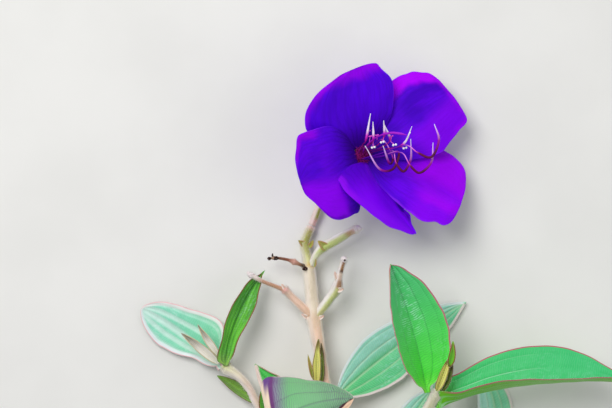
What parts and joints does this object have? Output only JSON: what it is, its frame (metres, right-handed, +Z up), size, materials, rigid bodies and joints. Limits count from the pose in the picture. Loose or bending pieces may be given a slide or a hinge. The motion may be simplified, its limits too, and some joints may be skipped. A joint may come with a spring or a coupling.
{
  "type": "flowering princess flower sprig",
  "caption": "Cut sprig of a princess flower shrub with one open violet bloom, bare flower stalks and opposite ribbed leaves, lying on its back.",
  "frame": {"origin": "bottom centre of the sprig's bounding box, on the surface it lies on", "axes": "+Z up, the way the bloom and the camera side face; +Y from the cut end towards the bloom; +X to the right seen from above"},
  "size_m": [0.2296, 0.2412, 0.0538],
  "materials": {
    "stem": "cream to pinkish-tan stem with short pale hairs",
    "green_stem": "olive-green young stem with pale hairs",
    "pink_stem": "pinkish spent flower stalk",
    "brown_spur": "dark brown dry flower stalk",
    "leaf": "bright green leaf with lengthwise veins, soft sheen and a reddish margin",
    "teal_leaf": "blue-green leaf with pale lengthwise veins",
    "mint_leaf": "pale mint leaf with a pink margin",
    "plum_leaf": "grey-green old leaf with purple margins",
    "bud": "yellow-green folded young leaf with brown edges",
    "calyx": "hairy brownish-green flower cup",
    "disc": "hairy maroon centre of the flower",
    "petal": "velvety royal violet petal with fine dark veins and a magenta-violet margin",
    "stamen": "magenta to pale pink stamens"
  },
  "bodies": {
    "root": {"stem_main": "stem", "pedicel": "green_stem", "shoot_right": "stem", "shoot_left": "stem", "spur_left_lower": "pink_stem", "spur_right_lower": "green_stem", "spur_left_upper": "brown_spur", "spur_right_upper": "green_stem", "leaf_upright": "leaf", "leaf_spread": "leaf", "leaf_low_right": "teal_leaf", "leaf_low_left": "leaf", "leaf_front": "plum_leaf", "leaf_floor": "leaf", "leaf_curved_right": "teal_leaf", "leaf_under_right": "teal_leaf", "leaf_pale": "mint_leaf", "leaf_narrow": "leaf", "leaf_edge": "leaf", "leaf_small": "leaf", "bud_mid_left": "bud", "bud_mid_right": "bud", "bud_right_left": "bud", "bud_right_right": "bud", "bud_right_inner": "bud", "bud_left_long": "bud", "bud_left_short": "bud", "calyx": "calyx", "flower_disc": "disc", "petal_1": "petal", "petal_2": "petal", "petal_3": "petal", "petal_4": "petal", "petal_5": "petal", "stamen_1": "stamen", "stamen_2": "stamen", "stamen_3": "stamen", "stamen_4": "stamen", "stamen_5": "stamen", "stamen_6": "stamen", "stamen_7": "stamen", "stamen_8": "stamen", "stamen_9": "stamen", "stamen_10": "stamen", "style": "stamen"}
  },
  "joints": []
}
